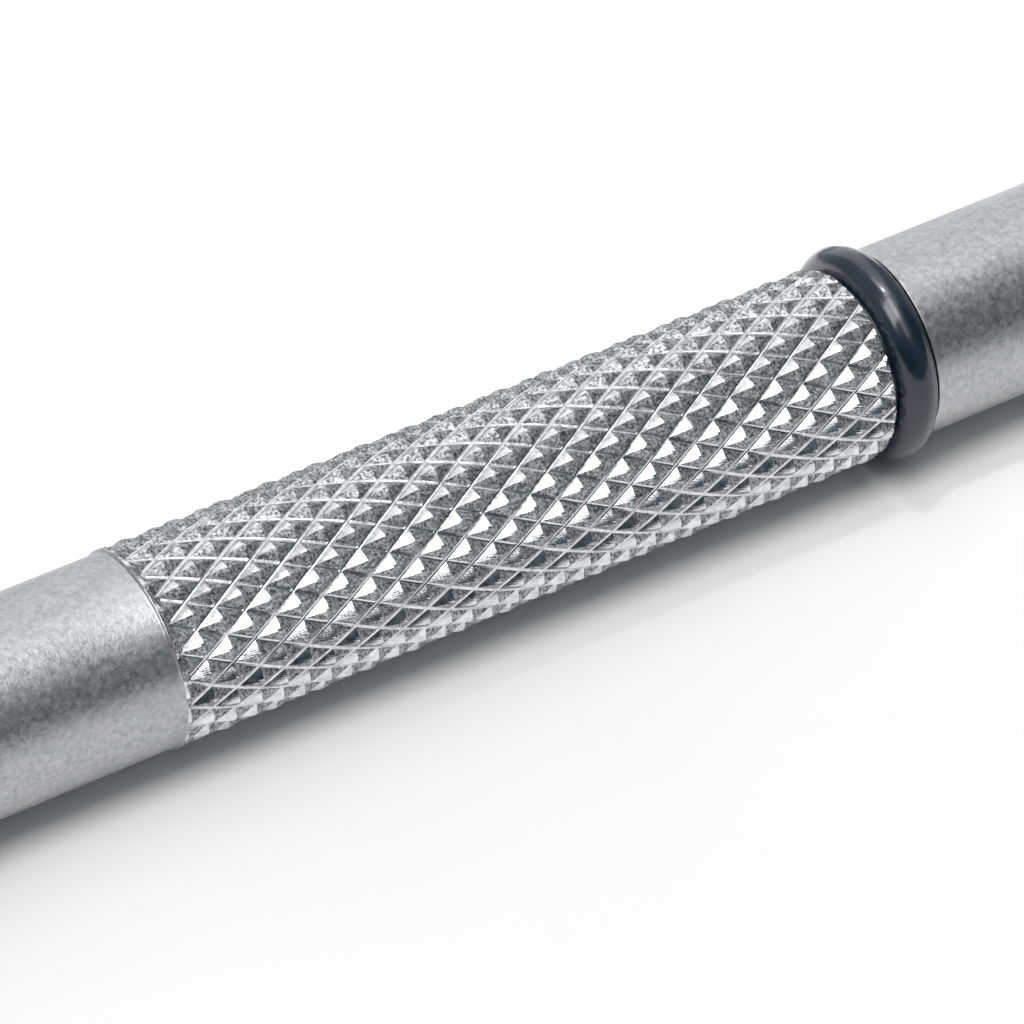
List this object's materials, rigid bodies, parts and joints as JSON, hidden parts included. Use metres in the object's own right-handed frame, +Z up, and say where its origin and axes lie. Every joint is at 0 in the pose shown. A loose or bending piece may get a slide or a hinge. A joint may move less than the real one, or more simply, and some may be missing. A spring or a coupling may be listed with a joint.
{
  "type": "hand grip strengthener",
  "caption": "V-shaped hand gripper: two diamond-knurled steel bar handles with rubber rings on the cranked legs of a coiled torsion spring, lying flat.",
  "frame": {"origin": "on the table under the middle of the gripper's bounding box", "axes": "+X from the handles' free ends towards the spring coil, +Y from the palm handle towards the finger handle, +Z up along the coil's axis"},
  "size_m": [0.1634, 0.1336, 0.0171],
  "materials": {
    "blasted_stainless": "bead blasted, with a bright cut knurl",
    "ring_rubber": "smooth semi-gloss",
    "spring_wire": "drawn wire, satin",
    "black_oxide_steel": "black oxide"
  },
  "bodies": {
    "palm_handle": {"palm_grip_tube": "blasted_stainless", "palm_spring_socket": "blasted_stainless", "palm_grip_ring": "ring_rubber", "palm_tail_ring": "ring_rubber", "palm_tail_plug": "blasted_stainless", "palm_socket_screw_outer": "black_oxide_steel", "palm_socket_screw_inner": "black_oxide_steel", "torsion_spring": "spring_wire"},
    "finger_handle": {"finger_grip_tube": "blasted_stainless", "finger_spring_socket": "blasted_stainless", "finger_grip_ring": "ring_rubber", "finger_tail_ring": "ring_rubber", "finger_tail_plug": "blasted_stainless", "finger_socket_screw_outer": "black_oxide_steel", "finger_socket_screw_inner": "black_oxide_steel"}
  },
  "joints": [
    {"name": "squeeze", "type": "hinge", "parent": "palm_handle", "child": "finger_handle", "pos_m": [0.06042, 0, 0.00855], "axis": [0, 0, 1], "range_deg": [0, 40.2], "stiffness_Nm_per_rad": 14.4, "deforming": ["torsion_spring"]}
  ]
}
